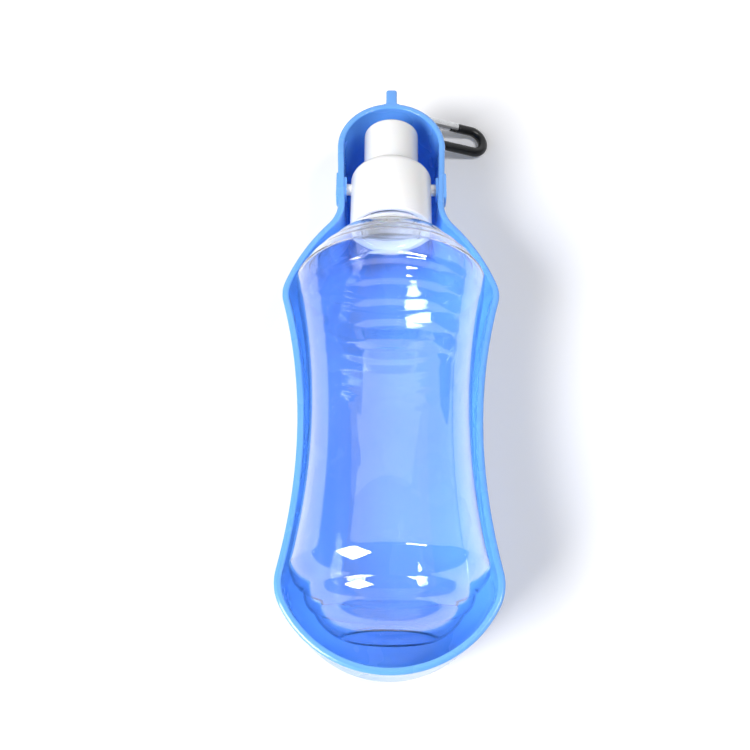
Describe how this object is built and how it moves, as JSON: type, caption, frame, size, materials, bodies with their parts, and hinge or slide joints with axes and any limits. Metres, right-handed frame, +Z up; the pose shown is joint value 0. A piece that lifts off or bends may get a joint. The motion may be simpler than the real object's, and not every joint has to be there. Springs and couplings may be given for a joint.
{
  "type": "dog travel water bottle",
  "caption": "Clear hourglass squeeze bottle with a twist nozzle cap on trunnions in a fold-out drinking tray, and a small carabiner on the tray's hang tab.",
  "frame": {"origin": "middle of the tray's flat back, on the surface that it lies on", "axes": "+Z up out of the open tray, +Y along the bottle towards the nozzle, +X to the right seen from above with the nozzle away"},
  "size_m": [0.0949, 0.2752, 0.0827],
  "materials": {
    "tray": "glossy moulded plastic",
    "bottle": "clear blown shell",
    "cap": "glossy white moulding",
    "seal": "soft grey silicone",
    "frame": "black anodised rod",
    "gate": "bare satin tube",
    "pin": "bare steel"
  },
  "bodies": {
    "tray": {"tray_shell": "tray"},
    "cap": {"cap_body": "cap", "neck_gasket": "seal", "nozzle_seal": "seal"},
    "nozzle": {"nozzle_sleeve": "cap"},
    "plug": {"valve_plug": "cap", "plug_seal": "seal"},
    "neck_ring": {"neck_seal": "seal"},
    "bottle": {"bottle_shell": "bottle"},
    "carabiner": {"carabiner_frame": "frame", "gate_rivet": "pin"},
    "gate": {"gate_tube": "gate", "latch_pin": "pin", "gate_spring": "pin"}
  },
  "joints": [
    {"name": "fold_out", "type": "hinge", "parent": "tray", "child": "cap", "pos_m": [0, 0.0818, 0.0425], "axis": [-1, 0, 0], "range_deg": [0, 130]},
    {"name": "nozzle_twist", "type": "hinge", "parent": "cap", "child": "nozzle", "pos_m": [0, 0.0818, 0.0425], "axis": [0, 1, 0], "range_deg": [0, 90]},
    {"name": "valve_travel", "type": "slide", "parent": "cap", "child": "plug", "axis": [0, -1, 0], "range_m": [0, 0.003]},
    {"name": "thread_travel", "type": "slide", "parent": "cap", "child": "neck_ring", "axis": [0, -1, 0], "range_m": [0, 0.004]},
    {"name": "bottle_unscrew", "type": "hinge", "parent": "neck_ring", "child": "bottle", "pos_m": [0, 0.0818, 0.0425], "axis": [0, -1, 0], "range_deg": [0, 360]},
    {"name": "carabiner_swing", "type": "hinge", "parent": "tray", "child": "carabiner", "pos_m": [0, 0.1361, 0.0225], "axis": [0.3908, 0.0287, 0.92], "range_deg": [0, 180]},
    {"name": "gate_open", "type": "hinge", "parent": "carabiner", "child": "gate", "pos_m": [0.00962, 0.14332, 0.01819], "axis": [-0.3909, 0, -0.9204], "range_deg": [0, 17], "stiffness_Nm_per_rad": 0.02, "springref_deg": -17.19}
  ],
  "couplings": [
    {"joint": "valve_travel", "follows": "nozzle_twist", "m_per_rad": 0.0019099},
    {"joint": "thread_travel", "follows": "bottle_unscrew", "m_per_rad": 0.00063662}
  ]
}
